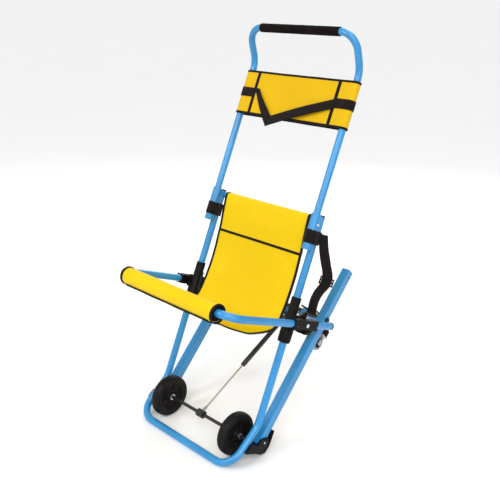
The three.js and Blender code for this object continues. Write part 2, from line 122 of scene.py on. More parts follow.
ARM_X = 275
ARM_REAR = 152
ARM_FRONT = 353
ARM_BEND = 60
LOCK = {"behind": 34.2, "below": 24.5, "radius": 3, "tip": -14.5, "shank": 24.3}

TRACK_LENGTH = 634
CROSSBAR = {"along": 465, "radius": 8, "half": 254}
STRUT_LENGTH = 505.3

# ---------------------------------------------------------------- the camera and the lights


def add_camera():
    data = bpy.data.cameras.new("camera")
    data.lens = 51.23
    data.sensor_width = 36
    back = Vector((0.65297, -0.67436, 0.34478))
    camera = bpy.data.objects.new("camera", data)
    camera.matrix_world = (Matrix.Translation((1.6056, -1.6004, 1.4646))
                           @ back.to_track_quat("Z", "Y").to_matrix().to_4x4())
    bpy.context.scene.collection.objects.link(camera)
    bpy.context.scene.camera = camera


def add_light(name, place, size, watts):
    data = bpy.data.lights.new(name, "AREA")
    data.shape = "DISK"
    data.size = size
    data.energy = watts
    light = bpy.data.objects.new(name, data)
    towards = Vector(place) - Vector((0, 0, 0.6))
    light.matrix_world = (Matrix.Translation(place)
                          @ towards.to_track_quat("Z", "Y").to_matrix().to_4x4())
    bpy.context.scene.collection.objects.link(light)


def add_sun(towards, strength, spread):
    data = bpy.data.lights.new("sun", "SUN")
    data.energy = strength
    data.angle = math.radians(spread)
    sun = bpy.data.objects.new("sun", data)
    sun.matrix_world = Vector(towards).to_track_quat("Z", "Y").to_matrix().to_4x4()
    bpy.context.scene.collection.objects.link(sun)


add_camera()
add_light("key_light", (-1.0, -3.0, 2.8), 1.0, 34)
add_light("side_light", (3.2, -1.4, 1.8), 0.8, 16)
add_light("top_light", (0.2, 0.8, 3.4), 1.6, 22)
add_light("back_light", (-1.8, 2.8, 2.0), 1.4, 26)
add_sun((0.85, -1.0, 1.15), 1.45, 40)
bpy.context.scene.view_settings.view_transform = "Standard"

# ---------------------------------------------------------------- materials


class Look:
    """One material, built node by node. Each method adds a node and gives its output."""

    def __init__(self, slot, **sockets):
        self.slot = slot
        self.material = bpy.data.materials.new(slot)
        self.material.use_nodes = True
        self.tree = self.material.node_tree
        self.shader = self.tree.nodes["Principled BSDF"]
        self.place = self.add("TexCoord").outputs
        for name, value in sockets.items():
            self.shader.inputs[name.replace("_", " ")].default_value = value

    def add(self, kind, inputs=None, **settings):
        node = self.tree.nodes.new("ShaderNode" + kind)
        for name, value in settings.items():
            setattr(node, name, value)
        for name, value in (inputs or {}).items():
            if isinstance(value, bpy.types.NodeSocket):
                self.tree.links.new(value, node.inputs[name])
            else:
                node.inputs[name].default_value = value
        return node

    def noise(self, scale, detail=3, where="Object", stretch=(1, 1, 1)):
        mapped = self.add("Mapping", {"Vector": self.place[where], "Scale": stretch})
        return self.add("TexNoise", {"Vector": mapped.outputs["Vector"], "Scale": scale,
                                     "Detail": detail}).outputs["Fac"]

    def threads(self, pitch, direction, where="UV", distortion=0.0):
        """Ridges with the given pitch in millimetres."""
        scale = 2 * math.pi / (20 * pitch * MM)
        return self.add("TexWave", {"Vector": self.place[where], "Scale": scale,
                                    "Distortion": distortion, "Detail": 0.0},
                        bands_direction=direction).outputs["Fac"]

    def maths(self, operation, a, b):
        return self.add("Math", {0: a, 1: b}, operation=operation).outputs[0]

    def between(self, amount, low, high, to_low=0.0, to_high=1.0):
        node = self.add("MapRange", {"Value": amount, "From Min": low, "From Max": high,
                                     "To Min": to_low, "To Max": to_high})
        return node.outputs["Result"]

    def mix(self, amount, a, b):
        node = self.add("Mix", data_type="RGBA")
        for index, value in ((0, amount), (6, a), (7, b)):
            if isinstance(value, bpy.types.NodeSocket):
                self.tree.links.new(value, node.inputs[index])
            else:
                node.inputs[index].default_value = value if index == 0 else (*value, 1)
        return node.outputs[2]

    def bump(self, height, depth, strength=1.0, under=None):
        inputs = {"Height": height, "Distance": depth * MM, "Strength": strength}
        if under is not None:
            inputs["Normal"] = under
        return self.add("Bump", inputs).outputs["Normal"]

    def done(self, colour, roughness, normal):
        for name, value in (("Base Color", colour), ("Roughness", roughness), ("Normal", normal)):
            self.tree.links.new(value, self.shader.inputs[name])
        return self


def shade(colour, factor):
    return tuple(min(1.0, part * factor) for part in colour)


def powder_coat(slot, colour):
    look = Look(slot, Coat_Weight=0.32, Coat_Roughness=0.08, Coat_IOR=1.5, IOR=1.5)
    mottle = look.mix(look.between(look.noise(7), 0.35, 0.65), shade(colour, 0.88), shade(colour, 1.08))
    scuffs = look.between(look.noise(60, 6, stretch=(1, 1, 0.3)), 0.68, 0.74)
    worn = look.mix(look.maths("MULTIPLY", scuffs, 0.25), mottle, shade(colour, 1.7))
    rough = look.between(look.noise(90, 4), 0.3, 0.7, 0.26, 0.38)
    peel = look.bump(look.noise(520, 2), 0.12, 0.35)
    return look.done(worn, rough, peel)


def coated_fabric(slot, colour, where):
    look = Look(slot, Specular_IOR_Level=0.14, Coat_Weight=0.03, Coat_Roughness=0.25)
    tint = look.mix(look.between(look.noise(4, 4), 0.3, 0.7), shade(colour, 0.9), colour)
    warp = look.threads(1.1, "X", where)
    weft = look.threads(1.1, "Z" if where == "Object" else "Y", where)
    weave = look.maths("MULTIPLY", warp, weft)
    tint = look.mix(look.maths("MULTIPLY", weave, 0.22), tint, shade(colour, 0.72))
    handled = look.between(look.noise(28, 6), 0.62, 0.8)
    tint = look.mix(look.maths("MULTIPLY", handled, 0.12), tint, (0.35, 0.2, 0.03))
    rough = look.between(look.noise(35, 4), 0.3, 0.7, 0.42, 0.58)
    creases = look.bump(look.noise(16, 5, stretch=(1, 0.5, 0.5)), 3.0, 0.35)
    return look.done(tint, rough, look.bump(weave, 0.25, 0.5, creases))


def webbing(slot, colour):
    look = Look(slot, Sheen_Weight=0.06, Sheen_Roughness=0.4, Specular_IOR_Level=0.15)
    rows = look.threads(1.6, "Y")
    cords = look.threads(2.2, "X", distortion=0.6)
    weave = look.maths("MULTIPLY", rows, cords)
    tint = look.mix(weave, shade(colour, 0.6), shade(colour, 1.9))
    tint = look.mix(look.between(look.noise(40, 5), 0.55, 0.75, 0, 0.2), tint, (0.03, 0.022, 0.018))
    rough = look.between(look.noise(120, 3), 0.3, 0.7, 0.7, 0.9)
    return look.done(tint, rough, look.bump(weave, 0.5, 0.8))


def moulded(slot, colour, grain=1500, low=0.4, high=0.55, depth=0.12, **sockets):
    """Moulded plastic, rubber or foam, by the size and depth of its grain."""
    look = Look(slot, **sockets)
    tint = look.mix(look.between(look.noise(12, 4), 0.35, 0.65), shade(colour, 0.75), shade(colour, 1.3))
    dust = look.between(look.noise(55, 7), 0.58, 0.8, 0, 0.3)
    tint = look.mix(dust, tint, tuple(part + 0.012 for part in colour))
    rough = look.between(look.noise(80, 4), 0.3, 0.7, low, high)
    return look.done(tint, rough, look.bump(look.noise(grain, 3), depth, 0.6))


def metal(slot, colour, low, high, brushed=(1, 1, 1), depth=0.03):
    look = Look(slot, Metallic=1.0)
    tint = look.mix(look.noise(30, 4), shade(colour, 0.8), shade(colour, 1.1))
    rough = look.between(look.noise(220, 4, stretch=brushed), 0.3, 0.7, low, high)
    return look.done(tint, rough, look.bump(look.noise(700, 3, stretch=brushed), depth, 0.4))


BLUE_COLOUR = (0.012, 0.22, 0.5)
YELLOW_COLOUR = (0.76, 0.52, 0.0)
ORANGE_COLOUR = (0.66, 0.40, 0.0)
BLUE = powder_coat("blue_paint", BLUE_COLOUR)
YELLOW = coated_fabric("yellow_vinyl", YELLOW_COLOUR, "UV")
HEAD_YELLOW = coated_fabric("yellow_vinyl", ORANGE_COLOUR, "UV")
PADDED_YELLOW = coated_fabric("yellow_vinyl", YELLOW_COLOUR, "Object")
WEBBING = webbing("webbing", (0.008, 0.005, 0.0045))
PLASTIC = moulded("black_plastic", (0.0045, 0.003, 0.0025), Specular_IOR_Level=0.12)
# The grip's black foam. The same near-black also fills the roll's end mouths, where it is painted shade.
FOAM_AND_SHADE = moulded("grip_foam", (0.006, 0.003, 0.003), 900, 0.85, 1.0, 0.9, Specular_IOR_Level=0.1)
RUBBER = moulded("rubber", (0.004, 0.003, 0.003), 700, 0.4, 0.6, 0.25, Specular_IOR_Level=0.18)
GREY_RUBBER = moulded("rubber", (0.33, 0.32, 0.31), 700, 0.5, 0.65, 0.15)
STEEL = metal("bright_steel", (0.72, 0.73, 0.75), 0.26, 0.42)
ZINC = metal("bright_steel", (0.42, 0.41, 0.42), 0.38, 0.52)
DARK_STEEL = moulded("dark_steel", (0.009, 0.009, 0.01), 500, 0.3, 0.42, 0.08)
YELLOW_THREAD = moulded("yellow_vinyl", (0.5, 0.3, 0.01), 900, 0.6, 0.8, 0.1)
DARK_THREAD = moulded("webbing", (0.05, 0.045, 0.04), 900, 0.6, 0.8, 0.1)
POLISHED = metal("strut_steel", (0.68, 0.69, 0.71), 0.08, 0.16, (1, 0.05, 0.1), 0.01)

# ---------------------------------------------------------------- curves and sections


def bent(corners, radii, step=4):
    """A tube's centre line: straight runs joined by arcs."""
    path = [corners[0]]
    for before, corner, after, radius in zip(corners, corners[1:], corners[2:], radii):
        into = (corner - before).normalized()
        leaving = (after - corner).normalized()
        turn = into.angle(leaving)
        start = corner - into * radius * MM * math.tan(turn / 2)
        inward = (leaving - into * into.dot(leaving)).normalized()
        steps = max(2, round(math.degrees(turn) / step))
        for k in range(steps + 1):
            a = turn * k / steps
            path.append(start + (into * math.sin(a) + inward * (1 - math.cos(a))) * radius * MM)
    path.append(corners[-1])
    return path


def spline(points, steps):
    """A smooth line through the points, at even shares of its spans."""
    p = [np.array(point, float) for point in points]
    last = len(p) - 1
    line = []
    for k in range(steps + 1):
        i = min(int(k * last / steps), last - 1)
        t = k * last / steps - i
        before, after = p[max(i - 1, 0)], p[min(i + 2, last)]
        leave, arrive = (p[i + 1] - before) / 2, (after - p[i]) / 2
        line.append((2 * t ** 3 - 3 * t ** 2 + 1) * p[i] + (t ** 3 - 2 * t ** 2 + t) * leave
                    + (3 * t ** 2 - 2 * t ** 3) * p[i + 1] + (t ** 3 - t ** 2) * arrive)
    return line


def even(line, gap):
    """The same line again, with its points the given distance apart."""
    line = np.array([tuple(p) for p in line])
    run = np.concatenate([[0], np.cumsum(np.linalg.norm(np.diff(line, axis=0), axis=1))])
    count = max(2, round(run[-1] / gap))
    marks = np.linspace(0, run[-1], count + 1)
    return np.stack([np.interp(marks, run, line[:, k]) for k in range(line.shape[1])], axis=1)


def round_section(radius, sides=32):
    return [(radius * math.cos(2 * math.pi * k / sides), radius * math.sin(2 * math.pi * k / sides))
            for k in range(sides)]


def flat_section(width, thick):
    """A strap's section, with soft edges."""
    w, t = width / 2, thick / 2
    side = [(w, 0), (w - 0.35 * t, 0.75 * t), (w - t, t), (w / 3, t), (-w / 3, t), (t - w, t),
            (0.35 * t - w, 0.75 * t)]
    return side + [(-a, -b) for a, b in side]


def stadium(radius, half, steps=12):
    """Pairs along a racetrack: two half circles whose middles are at plus and minus half."""
    pairs = []
    for end in (1, -1):
        for k in range(steps + 1):
            a = math.pi * (k / steps - 0.5)
            pairs.append((end * (half + radius * math.cos(a)), end * radius * math.sin(a)))
    return pairs


# ---------------------------------------------------------------- meshes


def loft(rows, around=False, along=False, caps=True):
    """Faces over rows of points. around closes each row, along joins the last row to the first.

    The texture coordinates are distances over the surface, in metres."""
    p = np.array([[tuple(point) for point in row] for row in rows])
    m, n = p.shape[:2]
    steps_u = np.linalg.norm(np.roll(p, -1, 1) - p, axis=2).mean(0)
    steps_v = np.linalg.norm(np.roll(p, -1, 0) - p, axis=2).mean(1)
    u = np.concatenate([[0], np.cumsum(steps_u)])
    v = np.concatenate([[0], np.cumsum(steps_v)])
    faces = []
    corners = []
    for i in range(m if along else m - 1):
        for j in range(n if around else n - 1):
            up, right = (i + 1) % m, (j + 1) % n
            faces.append((i * n + j, i * n + right, up * n + right, up * n + j))
            corners.append([(u[j], v[i]), (u[j + 1], v[i]), (u[j + 1], v[i + 1]), (u[j], v[i + 1])])
    if caps and around and not along:
        for first in (0, (m - 1) * n):
            faces.append(tuple(range(first, first + n)))
            corners.append([(u[j], 0) for j in range(n)])
    return [tuple(point) for row in p for point in row], faces, corners


def joined(*shapes):
    points, faces, corners = [], [], []
    for more_points, more_faces, more_corners in shapes:
        first = len(points)
        points += more_points
        faces += [tuple(first + i for i in face) for face in more_faces]
        corners += more_corners
    return points, faces, corners


def swept(path, section, side=X, closed=False, caps=True):
    """A section of (across, out) pairs carried along a path without twisting."""
    path = [Vector(p) for p in path]
    across = Vector(side)
    rows = []
    for i, place in enumerate(path):
        before = path[i - 1] if i or closed else place
        after = path[(i + 1) % len(path)] if closed or i < len(path) - 1 else place
        ahead = (after - before).normalized()
        across = (across - ahead * across.dot(ahead)).normalized()
        out = ahead.cross(across)
        rows.append([place + (across * a + out * b) * MM for a, b in section])
    return loft(rows, around=True, along=closed, caps=caps)


def ribbon(path, acrosses, section):
    """A strap along a path whose width points along a given direction at each station."""
    rows = []
    for i, (place, across) in enumerate(zip(path, acrosses)):
        ahead = Vector(path[min(i + 1, len(path) - 1)]) - Vector(path[max(i - 1, 0)])
        out = ahead.cross(across).normalized()
        rows.append([Vector(place) + (Vector(across) * a + out * b) * MM for a, b in section])
    return loft(rows, around=True)


def turned(centre, axis, profile, sides=48, closed=False):
    """A profile of (radius, place along the axis) pairs turned about an axis."""
    axis = Vector(axis).normalized()
    u = axis.orthogonal().normalized()
    w = axis.cross(u)
    rows = []
    for radius, along in profile:
        rows.append([Vector(centre) + (axis * along + (u * math.cos(a) + w * math.sin(a)) * radius) * MM
                     for a in (2 * math.pi * k / sides for k in range(sides))])
    return loft(rows, around=True, along=closed, caps=False)


def block(centre, axes, size, corner=0.0):
    """A box with its edges along three directions, its long corners cut back a little."""
    a, b, c = (Vector(axis).normalized() for axis in axes)
    w, h, d = (extent / 2 for extent in size)
    outline = [(w - corner, h), (corner - w, h), (-w, h - corner), (-w, corner - h),
               (corner - w, -h), (w - corner, -h), (w, corner - h), (w, h - corner)]
    if corner == 0:
        outline = [(w, h), (-w, h), (-w, -h), (w, -h)]
    rows = [[Vector(centre) + (a * p + b * q + c * end) * MM for p, q in outline] for end in (-d, d)]
    return loft(rows, around=True)


def make(name, shape, look, body=None, replaces=(), sharp=38, bevel=0.0):
    """Makes a piece of a shape, gives it its look, and lets it ride on a body."""
    points, faces, corners = shape
    mesh = bpy.data.meshes.new(name)
    mesh.from_pydata(points, [], faces)
    layer = mesh.uv_layers.new(name="UVMap")
    layer.data.foreach_set("uv", [part for face in corners for corner in face for part in corner])
    build = bmesh.new()
    build.from_mesh(mesh)
    bmesh.ops.remove_doubles(build, verts=build.verts, dist=1e-6)
    bmesh.ops.recalc_face_normals(build, faces=build.faces)
    build.to_mesh(mesh)
    build.free()
    mesh.shade_smooth()
    mesh.set_sharp_from_angle(angle=math.radians(sharp))
    mesh.materials.append(look.material)
    obj = bpy.data.objects.new(name, mesh)
    bpy.context.scene.collection.objects.link(obj)
    if bevel:
        soften(obj, bevel, sharp)
    if replaces:
        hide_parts(*replaces)
    if body:
        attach(obj, body)
    return obj


def soften(obj, width, angle=38):
    edge = obj.modifiers.new("soft_edges", "BEVEL")
    edge.width = width * MM
    edge.segments = 2
    edge.limit_method = "ANGLE"
    edge.angle_limit = math.radians(angle)
    edge.harden_normals = True


def dress(look, *nodes, bevel=0.6):
    """Gives CAD nodes their look, with soft edges."""
    for name in nodes:
        obj = frame["nodes"][name]
        mesh = obj.data
        mesh.materials.clear()
        mesh.materials.append(look.material)
        if "custom_normal" in mesh.attributes:
            mesh.attributes.remove(mesh.attributes["custom_normal"])
        mesh.shade_smooth()
        weld = obj.modifiers.new("weld", "WELD")
        weld.merge_threshold = 1e-5
        soften(obj, bevel)


def both(pattern):
    return [pattern.format(side) for side in SIDES]


def stitches(name, path, out, body, look, length=3.0, gap=1.8, lift=0.4, radius=0.35):
    """A row of thread stitches lying on a surface along a path."""
    marks = even(path, (length + gap) * MM)
    shapes = []
    for a, b in zip(marks, marks[1:]):
        a, b = Vector(a), Vector(b)
        ahead = (b - a).normalized()
        up = Vector(out).normalized()
        ends = [a + ahead * gap * MM / 2, b - ahead * gap * MM / 2]
        mid = (ends[0] + ends[1]) / 2 + up * lift * MM
        side = ahead.cross(up)
        shapes.append(swept([ends[0], mid, ends[1]], round_section(radius, 6), side))
    return make(name, joined(*shapes), look, body)


# ---------------------------------------------------------------- the frame's tubes


def u_line(axes, x, leg, radii):
    """A tube that runs along a leg, across the chair and back along the other leg."""
    there = [axes(x, s, n) for s, n in leg]
    back = [axes(-x, s, n) for s, n in reversed(leg)]
    return bent(there + back, radii + radii[::-1])


def add_tubes():
    frame_line = u_line(lean, LEG_X, [(LEG_TOP, LEG_N), (LEG_BEND["s"], LEG_N), (LOOP["s"], LOOP["n"])],
                        [LEG_BEND["radius"], LOOP["radius"]])
    make("frame_tube", swept(frame_line, round_section(TUBE_R)), BLUE, "frame", ["lower_frame"])

    half = LEG_X - TUBE_R - GAP
    radius = CROSS_TUBE["radius"]
    profile = [(0, -half), (radius, -half), (radius, half), (0, half)]
    make("cross_tube", turned(lean(0, CROSS_TUBE["s"], LEG_N), X, profile), BLUE, "frame", ["top_cross_tube"])

    profile = [(0, -half), (AXLE_R, -half)]
    for x in AXLE_RINGS:
        profile += [(AXLE_R, x), (AXLE_R + 2, x), (AXLE_R + 2, x + 1.5), (AXLE_R, x + 1.5)]
    profile += [(AXLE_R, half), (0, half)]
    make("axle_rod", turned(lean(0, 0, 0), X, profile), DARK_STEEL, "frame", ["axle"])

    handle_line = u_line(lean, LEG_X, [(HANDLE_BOTTOM, HANDLE_N), (HANDLE_BEND["s"], HANDLE_N),
                                       (GRIP["s"], GRIP["n"])], [HANDLE_BEND["radius"], GRIP["corner"]])
    make("handle_bar", swept(handle_line, round_section(HANDLE_R)), BLUE, "handle", ["handle_tube"])

    seat_line = u_line(seat, ARM_X, [(ARM_REAR, 0), (-ARM_FRONT, 0)], [ARM_BEND])
    make("seat_tube", swept(seat_line, round_section(TUBE_R)), BLUE, "seat_bar", ["seat_bar"])

    radius, half = CROSSBAR["radius"], CROSSBAR["half"]
    profile = [(0, -half), (radius - 1, -half), (radius, 1 - half), (radius, half - 1), (radius - 1, half),
               (0, half)]
    make("track_rod", turned(track(0, CROSSBAR["along"], 0), X, profile), DARK_STEEL, "tracks",
         ["track_crossbar"])


def add_foam_grip():
    """A foam sleeve on the handle, a little uneven, with rounded ends."""
    half, inner, radius = GRIP["half"], GRIP["inner"], GRIP["radius"]
    centre = lean(0, GRIP["s"], GRIP["n"])
    stations = 60
    profile = [(inner, -half), (radius - 0.8, -half), (radius, 1.2 - half)]
    for k in range(1, stations):
        x = -half + 2 * half * k / stations
        profile.append((radius + 0.18 * math.sin(x / 9.0) * math.cos(x / 23.0), x))
    profile += [(radius, half - 1.2), (radius - 0.8, half), (inner, half)]
    grip = make("foam_sleeve", turned(centre, X, profile, closed=True), FOAM_AND_SHADE, "handle", ["foam_grip"])


# ---------------------------------------------------------------- the hammock

HAMMOCK_HALF = 197
CLOTH = 1.8
# The cloth's line as pairs of s and n: the pocket round the cross tube, the back, the belly,
# and the hem under the front roll.
HAMMOCK_LINE = [(706, -20), (735, -30), (752, -37), (765, -34.5), (770, -25), (767, -14.5),
                (756, -10.8), (700, -17), (640, -26), (546, -33), (470, -30), (430, -25), (400, -19),
                (374, -5), (358, 40), (347, 111), (350, 162), (357, 217), (364, 262), (367, 292),
                (368, 310), (371, 322)]
FOLD = {"start": (0, 405, -21), "end": (0, 367, 292)}
PIPING_S = 635
POCKET_STATIONS = 20


def hammock_lines():
    """The cloth's middle line, and its outward direction at each point, as pairs of s and n."""
    line = even(spline(HAMMOCK_LINE, 400), 6)
    ahead = np.gradient(line, axis=0)
    ahead /= np.linalg.norm(ahead, axis=1)[:, None]
    return line, np.stack([ahead[:, 1], -ahead[:, 0]], axis=1)


def near(value, centre, width):
    return math.exp(-((value - centre) / width) ** 2)


def hammock_offset(x, s, n):
    """How far the cloth stands out from its line: the sag of the belly and the pull of the edges."""
    across = x / HAMMOCK_HALF
    free = near(s, 560, 130) + near(n, 120, 110)
    sag = -3.5 * (1 - across ** 2) * min(1.0, free)
    folds = 0.9 * near(s, 392, 26) * math.sin(x / 21.0 + 1.3) * (1 - across ** 4)
    pulls = 1.1 * near(n, 262, 30) * math.cos(x / 15.5) * across ** 2
    drag = 1.4 * near(s, 600, 60) * near(abs(x), 165, 26) * math.sin((s + 0.6 * abs(x)) / 14.0)
    wander = 1.2 * noise.noise(Vector((x / 95.0, s / 95.0, n / 95.0)))
    return sag + folds + pulls + drag + wander * min(1.0, free)


def cloth_point(x, s, n, outward, extra=0.0):
    lift = hammock_offset(x, s, n) + extra
    return lean(x, s + outward[0] * lift, n + outward[1] * lift)


def add_hammock():
    line, outward = hammock_lines()
    xs = np.linspace(-HAMMOCK_HALF + 2, HAMMOCK_HALF - 2, 61)
    rows = []
    for (s, n), out in zip(line, outward):
        front = [cloth_point(x, s, n, out, CLOTH / 2) for x in xs]
        rear = [cloth_point(x, s, n, out, -CLOTH / 2) for x in xs]
        rows.append(front + rear[::-1])
    sling = make("hammock_sling", loft(rows, around=True), YELLOW,
                 replaces=["hammock_back", "hammock_seat"])

    hems = []
    for name, side in SIDES.items():
        edge = side * (HAMMOCK_HALF - 4)
        path = [cloth_point(edge, s, n, out) for (s, n), out in zip(line, outward)]
        hems.append(make(f"hammock_binding_{name}", swept(path, flat_section(10.5, 4.8)), WEBBING))
        seam = [cloth_point(side * (HAMMOCK_HALF - 11.5), s, n, out, CLOTH / 2)
                for (s, n), out in zip(line, outward) if s < 750]
        hems.append(stitches(f"hammock_stitches_{name}", seam, lean.out, None, YELLOW_THREAD))

    # The first stations are the pocket, behind the piping.
    at = next(i for i in range(POCKET_STATIONS, len(line)) if line[i][0] <= PIPING_S)
    path = [cloth_point(x, *line[at], outward[at], 1.6) for x in xs]
    hems.append(make("hammock_piping", swept(path, flat_section(9, 3.0), lean.along), WEBBING))

    path = [cloth_point(x, *line[-1], outward[-1]) for x in xs]
    hems.append(make("hammock_hem", swept(path, flat_section(10, 4.4), -lean.out), WEBBING))
    for obj in [sling, *hems]:
        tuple(lean(*FOLD["start"]))
        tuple(lean(*FOLD["end"]))
        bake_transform(obj)


# ---------------------------------------------------------------- the front roll

ROLL_HALF = 218
ROLL_R = 30
ROLL_DROP = -3       # the padding hangs a little under its tube


def roll_shape(radius, half, hole=14.0, rings=48, sides=40):
    """A closed sleeve round the seat bar, its padding a little deeper than wide."""
    profile = [(hole, -half), (radius - 4, -half), (radius - 1, 2 - half)]
    profile += [(radius, -half + 5 + (2 * half - 10) * k / rings) for k in range(rings + 1)]
    profile += [(radius - 1, half - 2), (radius - 4, half), (hole, half)]
    rows = []
    for r, x in profile:
        row = []
        for k in range(sides):
            a = 2 * math.pi * k / sides
            drop = ROLL_DROP * (r - hole) / (radius - hole)
            row.append(seat(x, -ARM_FRONT + r * math.cos(a), r * math.sin(a) + drop))
        rows.append(row)
    return loft(rows, around=True, along=True)


def puff(obj, voxel, pressure, cap, hold):
    """Blows a closed shape up as cloth, and keeps every point within cap millimetres of its start.

    hold says how free a point is, from 0 to 1."""
    remesh = obj.modifiers.new("remesh", "REMESH")
    remesh.mode = "VOXEL"
    remesh.voxel_size = voxel * MM
    apply_modifiers(obj)
    start = np.array([v.co for v in obj.data.vertices])
    cloth = obj.modifiers.new("cloth", "CLOTH")
    cloth.settings.quality = 6
    cloth.settings.mass = 0.3
    cloth.settings.use_pressure = True
    cloth.settings.uniform_pressure_force = pressure
    cloth.settings.tension_stiffness = 12
    cloth.settings.compression_stiffness = 12
    cloth.settings.bending_stiffness = 0.6
    cloth.settings.effector_weights.gravity = 0
    for number in range(1, 21):
        bpy.context.scene.frame_set(number)
    apply_modifiers(obj)
    bpy.context.scene.frame_set(1)
    moved = np.array([v.co for v in obj.data.vertices]) - start
    far = np.linalg.norm(moved, axis=1)
    free = np.array([hold(Vector(p)) for p in start])
    moved *= (free * np.minimum(1.0, cap * MM / np.maximum(far, 1e-9)))[:, None]
    obj.data.vertices.foreach_set("co", (start + moved).ravel())
    smooth = obj.modifiers.new("subdivision", "SUBSURF")
    smooth.levels = smooth.render_levels = 1
    apply_modifiers(obj)
    obj.data.shade_smooth()


def apply_modifiers(obj):
    """Turns a piece's modifiers into its mesh."""
    shown = obj.evaluated_get(bpy.context.evaluated_depsgraph_get())
    mesh = bpy.data.meshes.new_from_object(shown)
    obj.modifiers.clear()
    obj.data = mesh


def add_roll():
    cover = make("roll_cover", roll_shape(ROLL_R - 1.4, ROLL_HALF - 3), PADDED_YELLOW,
                 replaces=["seat_roll"])
    puff(cover, 4.5, 4.0, 2.2, lambda p: min(1.0, (ROLL_HALF * MM - abs(p.x)) / 0.02))
    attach(cover, "seat_bar")
    for name, side in SIDES.items():
        x = side * (ROLL_HALF - 2)
        rim = [seat(x, -ARM_FRONT + y, ROLL_DROP + z) for y, z in round_section(ROLL_R - 1.2, 48)]
        make(f"roll_rim_{name}", swept(rim, flat_section(9, 5.0), X, closed=True), WEBBING, "seat_bar")
        # Each end's mouth: a ring standing for the roll's foam padding, which is partly real; its near-black
        # colour is painted shade of the open sleeve's inside.
        shaded_mouth = turned(seat(side * (ROLL_HALF - 4), -ARM_FRONT, 0), X * side,
                       [(13.2, 2), (16, 3.0), (24, 1.5), (27, 0), (20, -6), (13.2, -6)], closed=True)
        make(f"roll_end_shade_{name}", shaded_mouth, FOAM_AND_SHADE, "seat_bar")


# ---------------------------------------------------------------- the head restraint

RESTRAINT = {"bottom": 1056, "top": 1215, "radius": 14.6}
STRIPE_X = 178
STRAP = {"width": 33, "thick": 1.8}


def restraint_ring(s, radius, extra=0.0):
    """Points round the sleeve at one height. Its faces dish in between the tubes."""
    ring = stadium(radius + extra, LEG_X, 14)
    pairs = []
    for i, (x, n) in enumerate(ring):
        x_next, n_next = ring[(i + 1) % len(ring)]
        count = 44 if abs(x_next - x) > 100 else 1
        for k in range(count):
            pairs.append((x + (x_next - x) * k / count, n + (n_next - n) * k / count))
    points = []
    for x, n in pairs:
        across = min(1.0, abs(x) / LEG_X)
        height = (s - RESTRAINT["bottom"]) / (RESTRAINT["top"] - RESTRAINT["bottom"])
        dish = 3.2 * (1 - across ** 2)
        ripple = 1.0 * (1 - across ** 4) * math.sin(x / 47.0 + 2.2 * height + (1 if n > 0 else 3))
        edge = 0.8 * (1 - across ** 4) * math.sin(x / 19.0) * abs(2 * height - 1) ** 3
        n -= math.copysign(dish + ripple * 0.6 + edge, n) if abs(x) < LEG_X else 0
        points.append(lean(x, s, HANDLE_N + n))
    return points


def add_restraint():
    radius = RESTRAINT["radius"]
    heights = np.linspace(RESTRAINT["bottom"] + 1.5, RESTRAINT["top"] - 1.5, 25)
    outer = [restraint_ring(s, radius, 1.0) for s in heights]
    inner = [restraint_ring(s, radius, -1.0) for s in heights[::-1]]
    sleeve = make("restraint_sleeve", loft(outer + inner, around=True, along=True), HEAD_YELLOW,
                  "handle", ["head_restraint"])
    for name, s in (("bottom", RESTRAINT["bottom"] + 4), ("top", RESTRAINT["top"] - 4)):
        ring = restraint_ring(s, radius)
        make(f"restraint_binding_{name}", swept(ring, flat_section(8.5, 4.8), lean.along,
                                                            closed=True), WEBBING, "handle")
    column = [restraint_ring(s, radius, 1.5) for s in heights]
    for name, side in SIDES.items():
        for face, sign in (("front", 1), ("rear", -1)):
            nearest = min((i for i in range(len(column[0]))
                           if lean.out.dot(column[0][i] - lean(0, 0, HANDLE_N)) * sign > 0),
                          key=lambda i: abs(column[0][i].x - side * STRIPE_X * MM))
            path = [row[nearest] for row in column]
            make(f"restraint_stripe_{name}_{face}", swept(path, flat_section(13, 1.6), X),
                             WEBBING, "handle")
    # A webbing band round both tubes and over the back, which ends under the front stripes.
    band = restraint_ring((RESTRAINT["bottom"] + RESTRAINT["top"]) / 2, radius, 2.2)
    hidden = [i for i, p in enumerate(band)
              if abs(p.x) < STRIPE_X * MM and lean.out.dot(p - lean(0, 0, HANDLE_N)) > 0]
    around = [band[(hidden[-1] + 1 + k) % len(band)] for k in range(len(band) - len(hidden))]
    make("restraint_band", swept(around, flat_section(STRAP["width"], 1.8), lean.along),
                     WEBBING, "handle")


def add_head_strap():
    """A strap that drops from the left stripe, folds over, and climbs to the right one."""
    face = HANDLE_N + RESTRAINT["radius"] + 2.4

    def run(start, end, bulge, first_across, last_across, count=24):
        """One run of the strap. Its ends are given as (x, s, lift off the restraint's face)."""
        path = []
        acrosses = []
        for k in range(count + 1):
            t = k / count
            x, s = (start[i] + (end[i] - start[i]) * t for i in (0, 1))
            lift = bulge * math.sin(math.pi * t)
            path.append(lean(x, s, face + lift + start[2] * (1 - t) + end[2] * t))
            turn = t * t * (3 - 2 * t)
            acrosses.append(first_across.lerp(last_across, turn))
        return path, acrosses

    climb = (X * -92 + lean.along * 310).normalized()
    fold = (X * 0.30 + lean.along * 0.954).normalized() * 1.25
    path, acrosses = run((-168, 1151, 0.5), (-74, 1040, 1.0), 5, X * 0.7, fold.lerp(X * -0.2 + fold, 0.3))
    first = ribbon(path, acrosses, flat_section(STRAP["width"], STRAP["thick"]))
    path, acrosses = run((-74, 1041, 3.2), (186, 1133, 1.4), 7, fold, climb.lerp(lean.along, 0.75))
    second = ribbon(path, acrosses, flat_section(STRAP["width"], STRAP["thick"]))
    make("neck_strap", joined(first, second), WEBBING, "handle", ["head_strap"])
    corners = ((170, 1124), (182, 1124), (182, 1146), (170, 1146), (170, 1124))
    tack = [lean(x, s, face + 1.8) for x, s in corners]
    stitches("neck_strap_stitches", tack, lean.out, "handle", DARK_THREAD)


# ---------------------------------------------------------------- the bands and the lap strap


